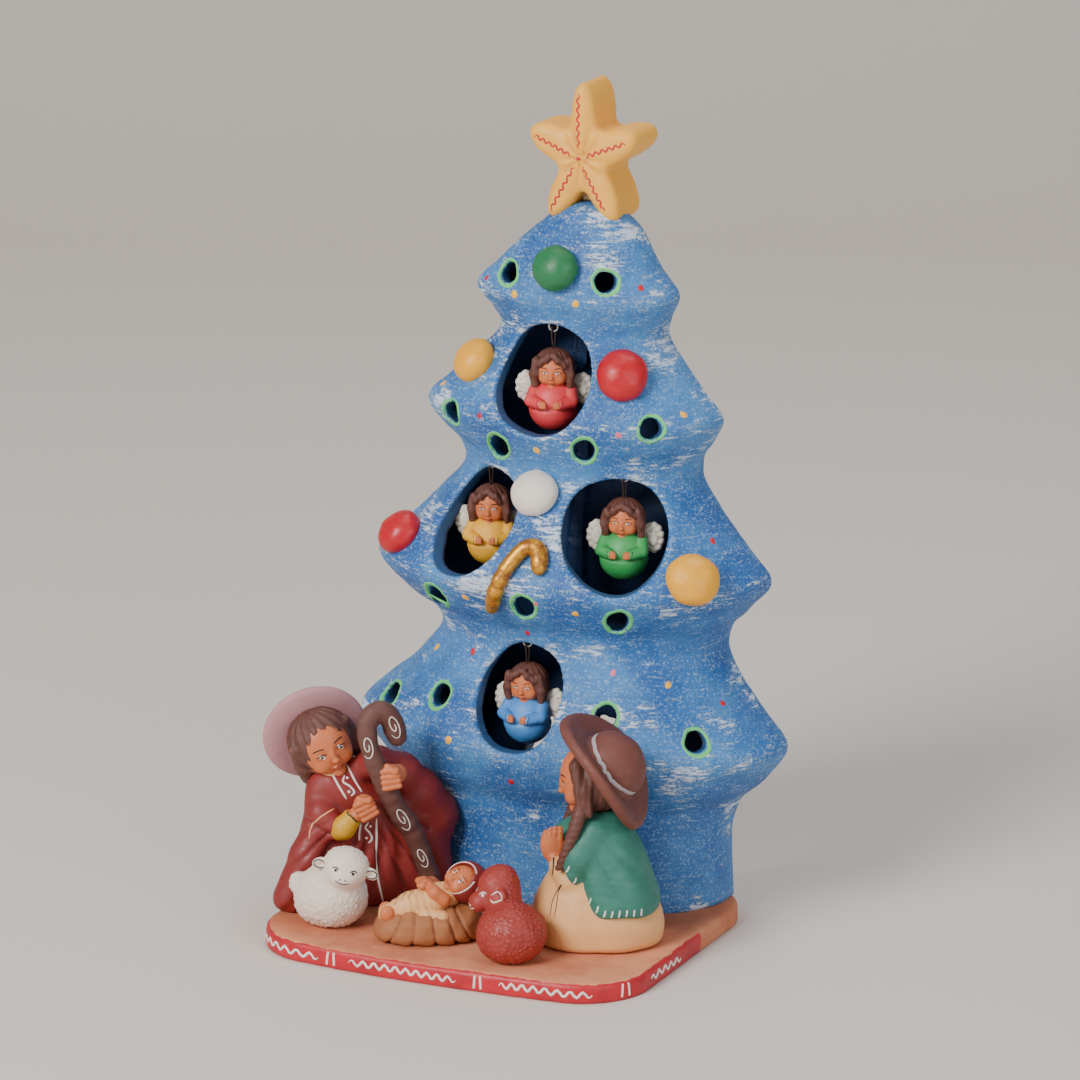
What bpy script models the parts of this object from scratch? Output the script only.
"""Hollow clay Christmas tree with hanging angels and a nativity group on a clay base.

Sizes are in millimetres and turned to metres by MM. +Z is up, the front of the object
faces -Y, and the origin is the centre of the base plate's underside.
"""
import math

import bmesh
import bpy
from mathutils import Matrix, Vector

MM = 0.001
GAP = 0.3                # clearance between pieces that touch
OBJECT_NAME = "clay_tree_nativity"

# Base plate
BASE_THICK = 7.5
BASE_LEFT = -80.5
BASE_RIGHT = 69.5
BASE_FRONT = -65.0
BASE_BACK = 64.0
BASE_CORNER = 26.0
BASE_BOW = 2.5           # how far the front edge bows out in the middle
FLOOR = BASE_THICK + GAP  # where every piece on the plate stands

# Tree: each level is height, half width, front bulge, back bulge, front and back
# roundness (2 is an ellipse, 4 is boxy), sideways lean and depth of its middle
TREE_LEVELS = (
    (FLOOR, 63.0, 40.0, 13.0, 2.3, 3.5, 1.0, 50.0),
    (30.0, 62.0, 38.0, 13.0, 2.3, 3.5, 1.0, 50.0),
    (44.0, 65.0, 39.0, 15.0, 2.2, 3.0, 1.1, 50.0),
    (55.0, 76.5, 45.0, 19.0, 2.1, 2.3, 1.2, 50.0),
    (67.5, 84.3, 49.0, 21.0, 2.1, 2.1, 1.2, 50.0),
    (78.0, 75.0, 46.0, 19.0, 2.1, 2.3, 1.6, 51.0),
    (90.0, 63.0, 41.0, 15.0, 2.0, 3.0, 2.4, 53.5),
    (102.0, 56.0, 37.0, 13.0, 2.0, 4.0, 3.0, 55.0),
    (109.0, 58.0, 38.0, 14.0, 2.0, 4.0, 2.6, 54.0),
    (117.0, 67.0, 42.0, 17.0, 2.1, 2.6, 2.0, 52.0),
    (129.0, 77.1, 46.0, 20.0, 2.1, 2.1, 1.4, 50.0),
    (139.0, 68.0, 42.0, 18.0, 2.1, 2.3, 1.7, 50.5),
    (153.0, 54.5, 34.0, 15.0, 2.0, 3.0, 2.4, 52.0),
    (166.0, 46.0, 28.0, 13.0, 2.0, 4.0, 3.0, 53.0),
    (172.0, 47.5, 29.0, 13.0, 2.0, 3.2, 2.7, 52.5),
    (179.0, 53.0, 31.0, 14.0, 2.1, 2.4, 2.2, 51.0),
    (187.0, 57.7, 33.0, 15.0, 2.1, 2.1, 1.8, 50.0),
    (196.0, 50.0, 30.0, 13.5, 2.1, 2.3, 2.1, 50.5),
    (207.0, 39.0, 24.0, 12.5, 2.0, 3.0, 2.8, 51.5),
    (217.0, 32.0, 20.0, 12.0, 2.0, 3.6, 3.3, 52.0),
    (223.0, 34.5, 20.5, 12.0, 2.1, 2.6, 3.2, 51.5),
    (231.0, 39.3, 22.0, 13.0, 2.1, 2.1, 2.8, 50.0),
    (240.0, 32.0, 20.5, 12.5, 2.1, 2.2, 3.4, 50.0),
    (248.0, 25.0, 17.5, 12.0, 2.1, 2.2, 5.0, 50.0),
    (255.0, 19.0, 13.5, 11.0, 2.1, 2.2, 6.6, 50.0),
    (260.0, 13.0, 10.5, 8.5, 2.1, 2.2, 7.0, 50.0),
    (264.0, 6.0, 6.5, 5.5, 2.1, 2.2, 7.0, 50.0),
)
TREE_TOP = 264.0
TREE_WALL = 7.0
TREE_SPLIT = 50.0        # the two pressed halves meet on this plane
TREE_SIDES = 34
TREE_STEP = 7.5          # height between lofted sections
HOLLOW_SIDES = 20
HOLLOW_STEP = 14.0
HOLLOW_TOP = 247.0
BACK_HOLE = (4.0, 43.0, 28.0)   # x, height, radius of the opening at the back

# Windows: name, x, height, turn of the cut about Z in degrees, x of the hanging angel
WINDOW_RADIUS = 20.5
WINDOWS = (
    ("red", 1.5, 201.5, 0.0, -1.2),
    ("yellow", -26.0, 149.0, -20.0, -25.8),
    ("green", 32.0, 149.0, 20.0, 28.1),
    ("blue", -2.0, 86.5, 0.0, -5.0),
)
LIGHT_RADIUS = 3.75
LIGHTS = (
    (-18.5, 238.0, -20.0), (21.0, 238.5, 20.0),
    (-38.5, 186.0, -25.0), (42.0, 188.0, 25.0), (-17.9, 176.0, -10.0), (17.4, 178.5, 10.0),
    (-39.5, 119.0, -15.0), (0.2, 122.0, 0.0), (34.5, 118.5, 15.0),
    (-62.5, 76.5, -25.0), (-37.0, 82.0, -15.0), (30.8, 83.0, 10.0), (62.7, 75.0, 25.0),
)

# Clay ornaments pressed onto the tree: name, x, height, radius
BALLS = (
    ("green", 2.4, 242.0, 8.2),
    ("yellow_upper", -31.5, 203.0, 8.3),
    ("red_upper", 28.2, 204.0, 9.3),
    ("white", -1.6, 159.5, 8.5),
    ("red_lower", -57.5, 137.5, 8.8),
    ("yellow_lower", 59.6, 134.0, 9.8),
)
BALL_FLATNESS = 0.72
CANE_RADIUS = 2.5
CANE_ROUTE = ((-12.0, 121.5), (-8.5, 129.0), (-4.5, 137.0), (-0.5, 142.0), (3.5, 143.0),
              (6.0, 140.5), (6.8, 136.5))

# Star
STAR_CENTRE = (6.5, 53.0, 280.5)
STAR_OUTER = 26.3
STAR_INNER = 12.5
STAR_NARROW = 0.82       # width against height
STAR_DEPTH = 23.0

# Hanging angels
EYELET_WIRE = 0.4        # wire radii
EYELET_HALF = 1.7
EYELET_DROP = 3.2
HANGER_WIRE = 0.3
HANGER_DROP = 6.2
HANGER_SPREAD = 1.5
GOWN_RADIUS = 9.1
HEAD_RADIUS = 7.3
ANGEL_SET_BACK = 3.8     # how far behind the rim's surface the eyelet sits


def blended(height, column):
    """Monotone curve through one column of TREE_LEVELS."""
    rows = TREE_LEVELS
    height = min(max(height, rows[0][0]), rows[-1][0])
    slopes = [(b[column] - a[column]) / (b[0] - a[0]) for a, b in zip(rows, rows[1:])]

    def tangent(i):
        if i == 0 or i == len(rows) - 1:
            return slopes[min(i, len(slopes) - 1)]
        left, right = slopes[i - 1], slopes[i]
        return 0.0 if left * right <= 0.0 else 2.0 * left * right / (left + right)

    i = next(k for k in range(len(slopes)) if height <= rows[k + 1][0])
    span = rows[i + 1][0] - rows[i][0]
    t = (height - rows[i][0]) / span
    return ((1 + 2 * t) * (1 - t) ** 2 * rows[i][column]
            + t * (1 - t) ** 2 * span * tangent(i)
            + t * t * (3 - 2 * t) * rows[i + 1][column]
            + t * t * (t - 1) * span * tangent(i + 1))


def tree_point(height, angle, inset=0.0):
    """A point of the tree's outline at a height, moved in by inset."""
    width, front, back, front_n, back_n, lean, middle = (
        blended(height, column) for column in range(1, 8))
    cos, sin = math.cos(angle), math.sin(angle)
    power = 2.0 / (front_n if sin < 0 else back_n)
    depth = (front if sin < 0 else back) - inset
    return Vector((lean + (width - inset) * math.copysign(abs(cos) ** power, cos),
                   middle + depth * math.copysign(abs(sin) ** power, sin),
                   height))


def tree_front(x, height):
    """Depth of the tree's front surface at x and a height."""
    width, front, _, front_n, _, lean, middle = (blended(height, c) for c in range(1, 8))
    share = max(0.0, 1.0 - abs((x - lean) / width) ** front_n)
    return middle - front * share ** (1.0 / front_n)


def tree_outward(x, height):
    """Unit vector that points out of the tree's front at x and a height."""
    step = 0.5
    slope_x = (tree_front(x + step, height) - tree_front(x - step, height)) / (2 * step)
    slope_z = (tree_front(x, height + step) - tree_front(x, height - step)) / (2 * step)
    return Vector((slope_x, -1.0, slope_z)).normalized()


# ---------------------------------------------------------------- scene helpers

def clear_scene():
    for obj in list(bpy.data.objects):
        bpy.data.objects.remove(obj, do_unlink=True)


def collection(name):
    made = bpy.data.collections.new(name)
    bpy.context.scene.collection.children.link(made)
    return made


clear_scene()
PARTS = collection(OBJECT_NAME)
CUTTERS = collection("cutters")

PAINTS = {}


def paint(name, colour, roughness=0.6, metallic=0.0):
    made = bpy.data.materials.new(name)
    made.use_nodes = True
    shader = made.node_tree.nodes["Principled BSDF"]
    shader.inputs["Base Color"].default_value = (*colour, 1.0)
    shader.inputs["Roughness"].default_value = roughness
    shader.inputs["Metallic"].default_value = metallic
    PAINTS[name] = made


for paint_row in (
    ("terracotta", (0.50, 0.20, 0.09), 0.8),
    ("blue_paint", (0.035, 0.16, 0.42), 0.65),
    ("star_yellow", (0.90, 0.43, 0.05), 0.6),
    ("ball_green", (0.02, 0.18, 0.08), 0.5),
    ("ball_yellow", (0.80, 0.36, 0.03), 0.5),
    ("ball_red", (0.50, 0.02, 0.03), 0.5),
    ("ball_white", (0.80, 0.74, 0.62), 0.6),
    ("gold_paint", (0.60, 0.30, 0.05), 0.4, 0.6),
    ("eyelet_silver", (0.60, 0.60, 0.60), 0.35, 1.0),
    ("hanger_dark", (0.10, 0.09, 0.08), 0.5, 1.0),
    ("skin_clay", (0.55, 0.17, 0.08), 0.7),
    ("hair_brown", (0.10, 0.04, 0.03), 0.7),
    ("maroon_clay", (0.18, 0.03, 0.025), 0.65),
    ("mauve_paint", (0.36, 0.19, 0.19), 0.7),
    ("brown_clay", (0.13, 0.05, 0.035), 0.7),
    ("ochre_paint", (0.55, 0.28, 0.04), 0.65),
    ("green_paint", (0.03, 0.13, 0.11), 0.7),
    ("cream_clay", (0.66, 0.36, 0.16), 0.75),
    ("straw_brown", (0.26, 0.10, 0.04), 0.8),
    ("white_paint", (0.74, 0.70, 0.62), 0.7),
    ("rust_clay", (0.28, 0.04, 0.03), 0.75),
    ("gown_red", (0.60, 0.06, 0.06), 0.55),
    ("gown_yellow", (0.75, 0.38, 0.05), 0.55),
    ("gown_green", (0.03, 0.28, 0.08), 0.55),
    ("gown_blue", (0.05, 0.24, 0.62), 0.55),
):
    paint(*paint_row)


def to_metres(points):
    return [Vector(point) * MM for point in points]


def add_object(name, mesh, paint_name=None):
    """Link a mesh as a part, or as a cutter when it has no paint."""
    obj = bpy.data.objects.new(name, mesh)
    if paint_name is None:
        CUTTERS.objects.link(obj)
        obj.hide_render = True
        obj.display_type = "WIRE"
    else:
        PARTS.objects.link(obj)
        mesh.materials.clear()
        mesh.materials.append(PAINTS[paint_name])
        mesh.shade_smooth()
        mesh.set_sharp_from_angle(angle=math.radians(50))
    return obj


def mesh_of(form, name):
    bmesh.ops.recalc_face_normals(form, faces=form.faces)
    mesh = bpy.data.meshes.new(name)
    form.to_mesh(mesh)
    form.free()
    return mesh


def loft(name, rings, paint_name=None):
    """A closed solid through rings of points in millimetres, each ring as long as the next."""
    form = bmesh.new()
    rows = [[form.verts.new(point) for point in to_metres(ring)] for ring in rings]
    sides = len(rows[0])
    for low, high in zip(rows, rows[1:]):
        for k in range(sides):
            n = (k + 1) % sides
            form.faces.new((low[k], low[n], high[n], high[k]))
    for row in (rows[0], rows[-1]):
        centre = form.verts.new(sum((v.co for v in row), Vector()) / sides)
        for k in range(sides):
            form.faces.new((row[k], row[(k + 1) % sides], centre))
    return add_object(name, mesh_of(form, name), paint_name)


def oval(centre, radii, sides, turn=0.0, tilt=None, power=2.0):
    """A flat ring of points round centre, with radii along x and y, turned about Z."""
    ring = []
    for k in range(sides):
        angle = 2 * math.pi * k / sides
        cos, sin = math.cos(angle), math.sin(angle)
        ring.append(Vector((radii[0] * math.copysign(abs(cos) ** (2 / power), cos),
                            radii[1] * math.copysign(abs(sin) ** (2 / power), sin), 0.0)))
    place = Matrix.Rotation(math.radians(turn), 3, "Z")
    if tilt is not None:
        place = Matrix.Rotation(math.radians(tilt[0]), 3, tilt[1]) @ place
    return [place @ point + Vector(centre) for point in ring]


def ball(name, centre, radii, paint_name=None, turn=None, sides=16):
    """An ellipsoid with radii in millimetres, turned by a 3x3 matrix."""
    form = bmesh.new()
    bmesh.ops.create_uvsphere(form, u_segments=sides, v_segments=max(6, sides * 5 // 8), radius=1.0)
    place = Matrix.Diagonal(Vector(radii) * MM)
    if turn is not None:
        place = turn @ place
    bmesh.ops.transform(form, matrix=place.to_4x4(), verts=form.verts)
    bmesh.ops.translate(form, vec=Vector(centre) * MM, verts=form.verts)
    return add_object(name, mesh_of(form, name), paint_name)


def rod(name, start, end, radius, sides=16):
    """A cylinder cutter between two points."""
    start, end = Vector(start), Vector(end)
    form = bmesh.new()
    bmesh.ops.create_cone(form, cap_ends=True, segments=sides, radius1=radius * MM,
                          radius2=radius * MM, depth=(end - start).length * MM)
    turn = (end - start).to_track_quat("Z", "Y").to_matrix().to_4x4()
    bmesh.ops.transform(form, matrix=Matrix.Translation((start + end) / 2 * MM) @ turn,
                        verts=form.verts)
    return add_object(name, mesh_of(form, name))


def tube(name, route, radius, paint_name, sides=2, radii=None, resolution=1, cyclic=False):
    """A round bar along a route, made from a bevelled curve and welded to one mesh."""
    curve = bpy.data.curves.new(name, "CURVE")
    curve.dimensions = "3D"
    curve.bevel_depth = radius * MM
    curve.bevel_resolution = sides
    curve.use_fill_caps = not cyclic
    curve.resolution_u = resolution
    spline = curve.splines.new("POLY")
    spline.points.add(len(route) - 1)
    spline.use_cyclic_u = cyclic
    for point, place in zip(spline.points, route):
        point.co = (*(Vector(place) * MM), 1.0)
    if radii is not None:
        for point, scale in zip(spline.points, radii):
            point.radius = scale
    guide = bpy.data.objects.new(name + "_curve", curve)
    CUTTERS.objects.link(guide)
    bpy.context.view_layer.update()
    mesh = bpy.data.meshes.new_from_object(guide.evaluated_get(bpy.context.evaluated_depsgraph_get()))
    form = bmesh.new()
    form.from_mesh(mesh)
    bmesh.ops.remove_doubles(form, verts=form.verts, dist=1e-6)
    bpy.data.objects.remove(guide, do_unlink=True)
    return add_object(name, mesh_of(form, name), paint_name)


def smooth_route(points, count):
    """Catmull-Rom curve through points, as count points."""
    points = [Vector(p) for p in points]
    padded = [2 * points[0] - points[1]] + points + [2 * points[-1] - points[-2]]
    route = []
    for k in range(count):
        place = k * (len(points) - 1) / (count - 1)
        i = min(int(place), len(points) - 2)
        t = place - i
        a, b, c, d = padded[i:i + 4]
        route.append(0.5 * (2 * b + (c - a) * t + (2 * a - 5 * b + 4 * c - d) * t ** 2
                            + (3 * b - a - 3 * c + d) * t ** 3))
    return route


def spread(verts):
    """Volume of the box round some vertices."""
    volume = 1.0
    for axis in range(3):
        places = [vert.co[axis] for vert in verts]
        volume *= max(places) - min(places)
    return volume


def keep_largest(form):
    """Delete stray edges, and every loose piece of a mesh but the largest."""
    bmesh.ops.dissolve_degenerate(form, dist=1e-7, edges=form.edges)
    strays = [edge for edge in form.edges if not edge.link_faces]
    bmesh.ops.delete(form, geom=strays, context="EDGES")
    left = set(form.verts)
    pieces = []
    while left:
        stack = [left.pop()]
        piece = set(stack)
        while stack:
            for edge in stack.pop().link_edges:
                for vert in edge.verts:
                    if vert in left:
                        left.remove(vert)
                        piece.add(vert)
                        stack.append(vert)
        pieces.append(piece)
    pieces.sort(key=spread)
    for piece in pieces[:-1]:
        bmesh.ops.delete(form, geom=list(piece), context="VERTS")


def boolean(obj, cutter, operation="DIFFERENCE"):
    """Cut or join obj with cutter, and keep the result as plain mesh."""
    modifier = obj.modifiers.new(operation.lower(), "BOOLEAN")
    modifier.operation = operation
    modifier.object = cutter
    modifier.solver = "EXACT"
    bpy.context.view_layer.update()
    mesh = bpy.data.meshes.new_from_object(obj.evaluated_get(bpy.context.evaluated_depsgraph_get()))
    obj.modifiers.clear()
    form = bmesh.new()
    form.from_mesh(mesh)
    keep_largest(form)
    form.to_mesh(mesh)
    form.free()
    mesh.materials.clear()
    for material in obj.data.materials:
        mesh.materials.append(material)
    mesh.name = obj.name
    obj.data = mesh
    return obj


def swollen(other, gap=GAP):
    """A copy of a part, grown along its normals, to cut room for it."""
    mesh = other.data.copy()
    form = bmesh.new()
    form.from_mesh(mesh)
    form.normal_update()
    shifts = [(vert, vert.normal.copy()) for vert in form.verts]
    for vert, normal in shifts:
        vert.co += normal * gap * MM
    form.to_mesh(mesh)
    form.free()
    return add_object(other.name + "_room", mesh)


def make_room(obj, *others):
    """Cut obj so that it clears each other part by the usual gap."""
    for other in others:
        boolean(obj, swollen(other))
    return obj


def drop_cutters():
    for obj in list(CUTTERS.objects):
        bpy.data.objects.remove(obj, do_unlink=True)


# ---------------------------------------------------------------- base and tree

def base_ring(height, inset):
    ring = []
    front = BASE_FRONT + BASE_BOW
    corners = ((BASE_RIGHT - BASE_CORNER, BASE_BACK - BASE_CORNER, 0),
               (BASE_LEFT + BASE_CORNER, BASE_BACK - BASE_CORNER, 90),
               (BASE_LEFT + BASE_CORNER, front + BASE_CORNER, 180),
               (BASE_RIGHT - BASE_CORNER, front + BASE_CORNER, 270))
    for x, y, start in corners:
        for k in range(7):
            angle = math.radians(start + 15 * k)
            ring.append((x + (BASE_CORNER - inset) * math.cos(angle),
                         y + (BASE_CORNER - inset) * math.sin(angle), height))
        if start == 180:
            middle = (BASE_LEFT + BASE_RIGHT) / 2
            half = (BASE_RIGHT - BASE_LEFT) / 2 - BASE_CORNER
            for share in (-0.66, -0.33, 0.0, 0.33, 0.66):
                bow = BASE_BOW * (1 - share ** 2)
                ring.append((middle + share * half, front - bow + inset, height))
    return ring


def make_base():
    edge = 1.2
    return loft("base_plate", [base_ring(0, edge), base_ring(edge, 0),
                               base_ring(BASE_THICK - edge, 0), base_ring(BASE_THICK, edge)],
                "terracotta")


def heights(low, high, step):
    count = max(2, round((high - low) / step))
    return [low + (high - low) * k / count for k in range(count + 1)]


def tree_solid(name, low, high, step, sides, inset, paint_name=None, lift=0.0):
    rings = []
    for height in heights(low, high, step):
        rings.append([tree_point(height, 2 * math.pi * (k + 0.5) / sides, inset)
                      for k in range(sides)])
    rings[-1] = [point + Vector((0, 0, lift)) for point in rings[-1]]
    return loft(name, rings, paint_name)


def block(name, low, high):
    form = bmesh.new()
    size = Vector(high) - Vector(low)
    bmesh.ops.create_cube(form, size=1.0)
    bmesh.ops.transform(form, matrix=Matrix.Diagonal(size * MM).to_4x4(), verts=form.verts)
    bmesh.ops.translate(form, vec=(Vector(low) + size / 2) * MM, verts=form.verts)
    return add_object(name, mesh_of(form, name))


def through_cut(name, x, height, turn, radius, sides):
    """A cylinder through the front wall, turned about Z to face the wall."""
    outward = Vector((math.sin(math.radians(turn)), -math.cos(math.radians(turn)), 0.0))
    surface = Vector((x, tree_front(x, height), height))
    return rod(name, surface - outward * 24, surface + outward * 25, radius, sides)


def make_tree():
    tree = tree_solid("tree_front_shell", FLOOR, TREE_TOP, TREE_STEP, TREE_SIDES, 0.0, "blue_paint")
    hollow = tree_solid("hollow", FLOOR - 5, HOLLOW_TOP, HOLLOW_STEP, HOLLOW_SIDES, TREE_WALL)
    boolean(tree, hollow)
    for name, x, height, turn, _ in WINDOWS:
        boolean(tree, through_cut("window_" + name, x, height, turn, WINDOW_RADIUS, 32))
    for x, height, turn in LIGHTS:
        boolean(tree, through_cut("light", x, height, turn, LIGHT_RADIUS, 10))
    x, height, radius = BACK_HOLE
    boolean(tree, rod("access", (x, TREE_SPLIT + 2, height), (x, 100, height), radius, 28))
    back = add_object("tree_back_shell", tree.data.copy(), "blue_paint")
    boolean(tree, block("front_half", (-120, -60, -10), (120, TREE_SPLIT - GAP / 2, 300)), "INTERSECT")
    boolean(back, block("back_half", (-120, TREE_SPLIT + GAP / 2, -10), (120, 140, 300)), "INTERSECT")
    drop_cutters()


def tree_skin():
    """The tree's outside, grown by the gap, to seat what is pressed onto it."""
    return tree_solid("tree_skin", FLOOR, TREE_TOP, TREE_STEP, TREE_SIDES, -GAP - 0.1, lift=GAP)


def make_star():
    x, y, z = STAR_CENTRE
    rings = []
    for depth, scale in ((-0.5, 0.62), (-0.42, 0.86), (-0.25, 1.0), (0.25, 1.0), (0.42, 0.86),
                         (0.5, 0.62)):
        ring = []
        for k in range(30):
            angle = math.pi / 2 + 2 * math.pi * k / 30
            wave = 0.5 + 0.5 * math.cos(5 * (angle - math.pi / 2))
            radius = (STAR_INNER + (STAR_OUTER - STAR_INNER) * wave ** 1.3) * scale
            ring.append((x + radius * STAR_NARROW * math.cos(angle), y + depth * STAR_DEPTH,
                         z + radius * math.sin(angle)))
        rings.append(ring)
    star = loft("star_finial", rings, "star_yellow")
    boolean(star, tree_skin())
    drop_cutters()


def make_ornaments():
    colours = {"green": "ball_green", "yellow": "ball_yellow", "red": "ball_red",
               "white": "ball_white"}
    for name, x, height, radius in BALLS:
        outward = tree_outward(x, height)
        centre = Vector((x, tree_front(x, height), height)) + outward * radius * 0.25
        turn = outward.to_track_quat("Z", "Y").to_matrix()
        made = ball("ball_" + name, centre, (radius, radius, radius * BALL_FLATNESS),
                    colours[name.split("_")[0]], turn)
        boolean(made, tree_skin())
    route = []
    for point in smooth_route([(x, 0, z) for x, z in CANE_ROUTE], 14):
        surface = Vector((point.x, tree_front(point.x, point.z), point.z))
        route.append(surface + tree_outward(point.x, point.z) * CANE_RADIUS * 0.8)
    cane = tube("candy_cane", route, CANE_RADIUS, "gold_paint", 1)
    boolean(cane, tree_skin())
    drop_cutters()


# ---------------------------------------------------------------- hanging angels

def make_angel(name, window_x, window_height, turn, x):
    """Eyelet in the window's top rim, wire hanger, and the angel that hangs from it."""
    y = tree_front(x, window_height + WINDOW_RADIUS - 1.0) + ANGEL_SET_BACK
    aside = window_x - x - (y - tree_front(window_x, window_height)) * math.tan(math.radians(turn))
    reach = (abs(aside) + EYELET_HALF + EYELET_WIRE) * math.cos(math.radians(turn))
    top = window_height + math.sqrt(WINDOW_RADIUS ** 2 - reach ** 2) - 0.5
    pivot = top - EYELET_DROP
    loop = [(x - EYELET_HALF, y, top)]
    for k in range(9):
        angle = math.pi + math.pi * k / 8
        loop.append((x + EYELET_HALF * math.cos(angle), y,
                     pivot + EYELET_HALF + EYELET_HALF * math.sin(angle)))
    loop.append((x + EYELET_HALF, y, top))
    tube("eyelet_" + name, loop, EYELET_WIRE, "eyelet_silver", 1)

    head_top = pivot - HANGER_DROP
    hook = pivot + 2 * EYELET_WIRE + 0.3
    arc = 1.0
    hanger = [(x, y - HANGER_SPREAD, head_top)]
    for k in range(7):
        angle = math.pi - math.pi * k / 6
        hanger.append((x, y + arc * math.cos(angle), hook - arc + 0.6 + arc * math.sin(angle)))
    hanger.append((x, y + HANGER_SPREAD, head_top))
    tube("hanger_" + name, hanger, HANGER_WIRE, "hanger_dark", 1)

    head_centre = Vector((x, y, head_top - HANGER_WIRE - GAP - HEAD_RADIUS * 0.95))
    head = ball("angel_head_" + name, head_centre, (HEAD_RADIUS, HEAD_RADIUS * 0.92, HEAD_RADIUS * 0.95),
                "skin_clay", sides=12)
    gown_centre = head_centre - Vector((0, 0, HEAD_RADIUS + GOWN_RADIUS * 0.72))
    rings = []
    for share, width in ((-0.97, 0.30), (-0.8, 0.62), (-0.5, 0.89), (-0.1, 1.0), (0.3, 0.97),
                         (0.65, 0.80), (0.95, 0.52)):
        rings.append(oval(gown_centre + Vector((0, 0, share * GOWN_RADIUS)),
                          (width * GOWN_RADIUS, width * GOWN_RADIUS * 0.9), 14))
    gown = loft("angel_gown_" + name, rings, "gown_" + name)
    make_room(gown, head)
    for side, label in ((-1, "left"), (1, "right")):
        rings = []
        for share, reach, half in ((0.0, -3.6, 1.2), (0.2, -5.0, 1.5), (0.5, -5.4, 1.5), (0.8, -4.6, 1.3),
                                   (1.0, -2.2, 0.8)):
            wing_x = x + side * (5.0 + share * 10.0)
            lift = gown_centre.z + 7.0 + share * 1.0
            rings.append([(wing_x, y + 4.4 + half * math.cos(a), lift - reach * math.sin(a))
                          for a in (2 * math.pi * k / 10 for k in range(10))])
        wing = loft("angel_wing_%s_%s" % (name, label), rings, "white_paint")
        make_room(wing, gown, head)
    drop_cutters()


# ---------------------------------------------------------------- nativity figures

MAN = Vector((-60.0, -8.0, 0.0))
MAN_FACING = 42.0        # turn about Z of a figure that faces the front
WOMAN = Vector((41.0, -12.0, 0.0))
WOMAN_FACING = -65.0
CHILD = Vector((-17.0, -37.0, 0.0))
CHILD_TURN = 32.0
WHITE_SHEEP = Vector((-56.0, -37.0, 0.0))
RED_SHEEP = Vector((21.0, -47.5, 0.0))


def placed(origin, facing):
    """Maps a point of a figure's own frame, which faces -Y, to the object's frame."""
    turn = Matrix.Rotation(math.radians(facing), 3, "Z")

    def place(x, y, z):
        return origin + turn @ Vector((x, y, 0)) + Vector((0, 0, FLOOR + z))
    place.turn = turn
    return place


def body(name, place, rows, paint_name, sides=20):
    """A draped body: rows are height, x, y, half width, half depth, roundness."""
    rings = []
    for height, x, y, wide, deep, power in rows:
        ring = []
        for k in range(sides):
            angle = 2 * math.pi * k / sides
            cos, sin = math.cos(angle), math.sin(angle)
            ring.append(place(x + wide * math.copysign(abs(cos) ** (2 / power), cos),
                              y + deep * math.copysign(abs(sin) ** (2 / power), sin), height))
        rings.append(ring)
    return loft(name, rings, paint_name)


def hat(name, centre, up, brim, crown, crown_height, paint_name):
    """A round hat turned about its own axis: a wavy brim and a soft crown."""
    profile = ((0.0, crown_height), (crown * 0.55, crown_height * 0.95), (crown * 0.88, crown_height * 0.7),
               (crown, crown_height * 0.35), (crown * 1.05, 2.2), (brim * 0.8, 1.6), (brim, 0.9),
               (brim, -0.6), (brim * 0.8, -0.9), (0.0, -1.2))
    turn = Vector(up).to_track_quat("Z", "Y").to_matrix()
    form = bmesh.new()
    chain = [form.verts.new(turn @ (Vector((r, 0, z)) * MM) + Vector(centre) * MM) for r, z in profile]
    for a, b in zip(chain, chain[1:]):
        form.edges.new((a, b))
    bmesh.ops.spin(form, geom=list(form.verts) + list(form.edges), cent=Vector(centre) * MM,
                   axis=turn @ Vector((0, 0, 1)), dvec=(0, 0, 0), angle=2 * math.pi, steps=24)
    bmesh.ops.remove_doubles(form, verts=form.verts, dist=1e-6)
    return add_object(name, mesh_of(form, name), paint_name)


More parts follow.
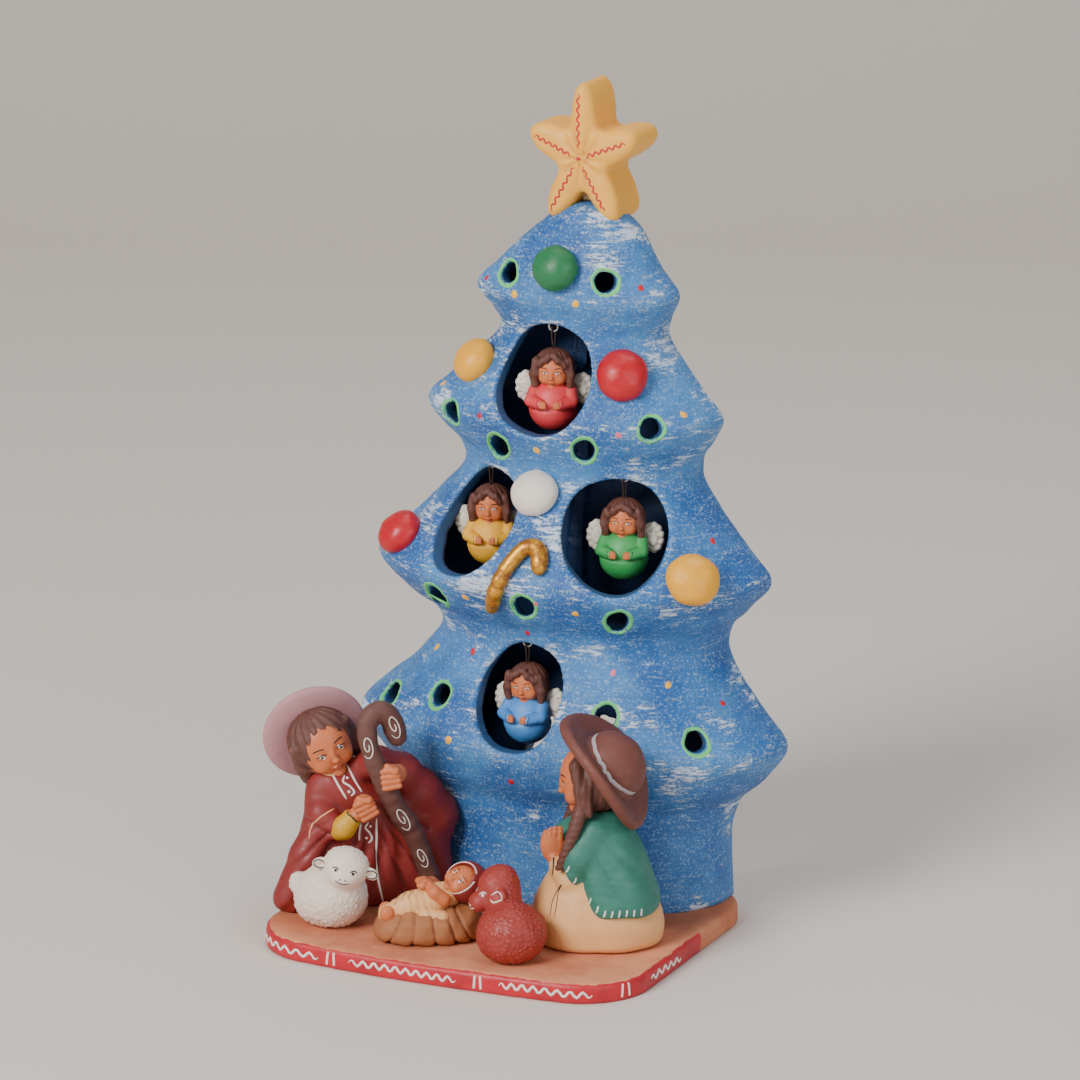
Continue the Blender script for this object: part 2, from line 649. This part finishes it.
def make_man():
    place = placed(MAN, MAN_FACING)
    cloak = body("man_cloak", place, (
        (0.0, 0.5, 0.0, 33.0, 14.5, 2.6), (15.0, 3.0, 0.0, 30.0, 13.8, 2.5),
        (28.0, 6.5, -0.5, 27.0, 12.8, 2.4), (37.0, 4.0, -0.5, 22.0, 11.8, 2.2),
        (43.0, -5.0, -0.2, 14.0, 9.5, 2.1), (46.5, -11.0, 0.6, 7.5, 6.5, 2.0)), "maroon_clay", 24)
    arm = tube("raised_arm", smooth_route([place(2.5, -10.5, 54.0), place(12.0, -5.5, 46.0),
                                           place(22.0, -2.0, 33.0)], 7), 8.0, None, 1,
               radii=(0.55, 0.7, 0.82, 0.92, 1.0, 1.05, 1.0))
    boolean(cloak, arm, "UNION")
    boolean(cloak, tree_skin())
    head = ball("man_head", place(-15.0, 0.8, 59.8), (11.0, 10.8, 12.4), "skin_clay", sides=16)
    brim = hat("man_hat", place(-15.3, 9.6, 64.3), place.turn @ Vector((-0.02, 0.96, 0.25)),
               19.0, 11.5, 8.0, "mauve_paint")
    boolean(brim, tree_skin())
    make_room(cloak, brim)
    make_room(head, brim)
    make_room(cloak, head)
    hair = ball("man_hair", place(-15.2, 3.4, 60.6), (13.2, 12.2, 13.4), "hair_brown", sides=16)
    boolean(hair, ball("face_opening", place(-14.6, -13.4, 57.3), (12.6, 12.5, 14.0), turn=place.turn))
    make_room(hair, head, brim, cloak)
    staff = tube("man_staff", smooth_route([
        place(24.0, -12.0, 4.6), place(16.1, -14.0, 26.0), place(8.1, -16.0, 37.7),
        place(2.3, -17.5, 48.4), place(-1.8, -18.0, 58.1), place(-4.1, -18.0, 66.8),
        place(-3.6, -17.5, 73.3), place(0.5, -17.0, 76.2), place(4.7, -16.5, 73.0),
        place(7.2, -16.0, 66.7)], 22), 3.7, "brown_clay", 1)
    make_room(staff, cloak, head, hair)
    left = ball("man_left_hand", place(4.2, -19.5, 51.2), (5.0, 4.4, 4.8), "skin_clay", sides=10)
    make_room(left, staff, cloak)
    sleeve = tube("man_right_sleeve", smooth_route([place(-14.0, -12.5, 29.0), place(-9.0, -14.8, 32.0),
                                                    place(-4.0, -16.0, 36.0)], 5), 4.2, "ochre_paint", 1)
    make_room(sleeve, cloak)
    right = ball("man_right_hand", place(-0.8, -16.2, 40.0), (4.8, 4.2, 5.0), "skin_clay", sides=10)
    make_room(right, sleeve, cloak, staff)
    drop_cutters()


def make_woman():
    place = placed(WOMAN, WOMAN_FACING)
    skirt = body("woman_skirt", place, (
        (0.0, 0.0, -0.5, 19.5, 21.5, 2.4), (8.0, 0.0, -0.5, 19.8, 22.0, 2.4),
        (16.0, 0.0, -0.5, 17.5, 19.5, 2.3), (26.0, 0.0, -1.5, 14.0, 15.0, 2.2),
        (36.0, 0.0, -2.0, 11.5, 11.0, 2.1)), "cream_clay")
    shawl = body("woman_shawl", place, (
        (13.0, 0.0, 4.5, 19.8, 15.5, 2.3), (24.0, 0.0, 1.5, 18.8, 15.5, 2.3),
        (34.0, 0.0, -0.5, 16.5, 14.0, 2.2), (43.0, 0.0, -1.5, 12.5, 11.0, 2.1),
        (49.5, 0.0, -2.5, 7.5, 7.5, 2.0)), "green_paint")
    make_room(shawl, skirt)
    head = ball("woman_head", place(0.5, -5.5, 61.0), (10.8, 10.8, 12.8), "skin_clay", sides=16)
    brim = hat("woman_hat", (41.0, -13.0, 71.0), (0.744, 0.344, 0.57), 23.0, 12.8, 12.5, "brown_clay")
    boolean(brim, tree_skin())
    make_room(shawl, brim)
    make_room(head, brim)
    make_room(shawl, head)
    hair = ball("woman_hair", place(0.5, -2.2, 61.5), (13.0, 12.0, 13.8), "hair_brown", sides=16)
    boolean(hair, ball("face_opening", place(0.5, -20.5, 58.5), (12.0, 12.5, 14.5), turn=place.turn))
    make_room(hair, head, brim, shawl)
    for side, label in ((-1, "right"), (1, "left")):
        route = smooth_route([place(side * 10.5, -9.0, 52), place(side * 12.8, -12.0, 44),
                              place(side * 12.5, -14.5, 35), place(side * 10.0, -17.0, 26.5)], 7)
        braid = tube("woman_braid_" + label, route, 2.7, "hair_brown", 1,
                     radii=(0.9, 1.1, 1.1, 1.05, 1.0, 0.85, 0.6))
        make_room(braid, shawl, skirt, head, hair, brim)
    arms = tube("woman_hands", smooth_route([place(7.5, -13.0, 27.0), place(4.0, -18.0, 29.0),
                                             place(0.0, -20.5, 32.0), place(-4.0, -18.0, 29.0),
                                             place(-7.5, -13.0, 27.0)], 9), 3.6, "skin_clay", 1)
    palms = ball("palms", place(0.0, -20.0, 35.5), (3.2, 3.6, 7.0), turn=place.turn, sides=10)
    boolean(arms, palms, "UNION")
    make_room(arms, shawl, skirt, bpy.data.objects["woman_braid_left"],
              bpy.data.objects["woman_braid_right"])
    drop_cutters()


def make_child():
    place = placed(CHILD, CHILD_TURN)
    manger = body("manger", place, (
        (0.0, 0.0, 0.0, 19.0, 12.5, 2.6), (4.0, 0.0, 0.0, 19.5, 13.0, 2.6),
        (8.0, 1.0, 0.0, 17.5, 11.0, 2.5), (11.0, 3.0, 0.0, 13.5, 7.5, 2.3)), "straw_brown")
    infant = tube("infant_body", smooth_route([place(-15.0, -1.0, 9.0), place(-7.0, -1.0, 12.0),
                                               place(2.0, 0.0, 14.5), place(7.0, 0.5, 16.0)], 7),
                  5.5, "cream_clay", 2, radii=(0.62, 0.8, 0.95, 1.05, 1.05, 0.9, 0.6))
    make_room(infant, manger)
    head = ball("infant_head", place(12.5, 0.5, 19.5), (6.8, 6.6, 6.8), "skin_clay", sides=14)
    make_room(head, infant, manger)
    hood = ball("infant_hood", place(14.2, 0.8, 19.4), (8.0, 8.2, 8.2), "maroon_clay", sides=14)
    boolean(hood, ball("hood_opening", place(3.0, 0.5, 22.0), (10.0, 9.0, 9.0), turn=place.turn))
    make_room(hood, head, infant, manger)
    arms = tube("infant_arms", smooth_route([place(4.5, -6.2, 13.5), place(1.5, -4.6, 19.0),
                                             place(-1.5, 0.0, 20.0), place(1.0, 5.2, 18.5),
                                             place(4.5, 6.2, 13.5)], 7), 2.0, "skin_clay", 1)
    make_room(arms, infant, manger, head, hood)
    drop_cutters()


def make_sheep():
    x, y = WHITE_SHEEP.x, WHITE_SHEEP.y
    fleece = ball("white_sheep_body", (x, y, FLOOR + 11.0), (13.6, 12.4, 11.0), "white_paint", sides=18)
    make_room(fleece, bpy.data.objects["man_cloak"])
    face = ball("white_sheep_head", (x + 8.5, y - 6.5, FLOOR + 24.5), (6.6, 7.0, 5.4), "white_paint",
                sides=14)
    ears = tube("ears", smooth_route([(x - 0.5, y - 5.0, FLOOR + 25.0), (x + 8.5, y - 4.0, FLOOR + 26.5),
                                      (x + 17.0, y - 1.0, FLOOR + 23.5)], 6), 2.2, "white_paint", 1,
                radii=(0.5, 1.1, 1.0, 1.0, 1.1, 0.5))
    boolean(face, ears, "UNION")
    bpy.data.objects.remove(ears, do_unlink=True)
    make_room(face, fleece)
    x, y = RED_SHEEP.x, RED_SHEEP.y
    fleece = ball("red_sheep_body", (x, y, FLOOR + 9.8), (12.4, 11.6, 9.8), "rust_clay", sides=18)
    make_room(fleece, bpy.data.objects["manger"], bpy.data.objects["woman_skirt"])
    face = ball("red_sheep_head", (x - 9.5, y + 9.5, FLOOR + 22.0), (8.6, 7.2, 6.8), "rust_clay", sides=14)
    make_room(face, fleece, bpy.data.objects["infant_hood"], bpy.data.objects["infant_head"],
              bpy.data.objects["manger"])
    drop_cutters()


def main():
    make_base()
    make_tree()
    make_star()
    make_ornaments()
    for window in WINDOWS:
        make_angel(*window)
    make_man()
    make_woman()
    make_child()
    make_sheep()


main()
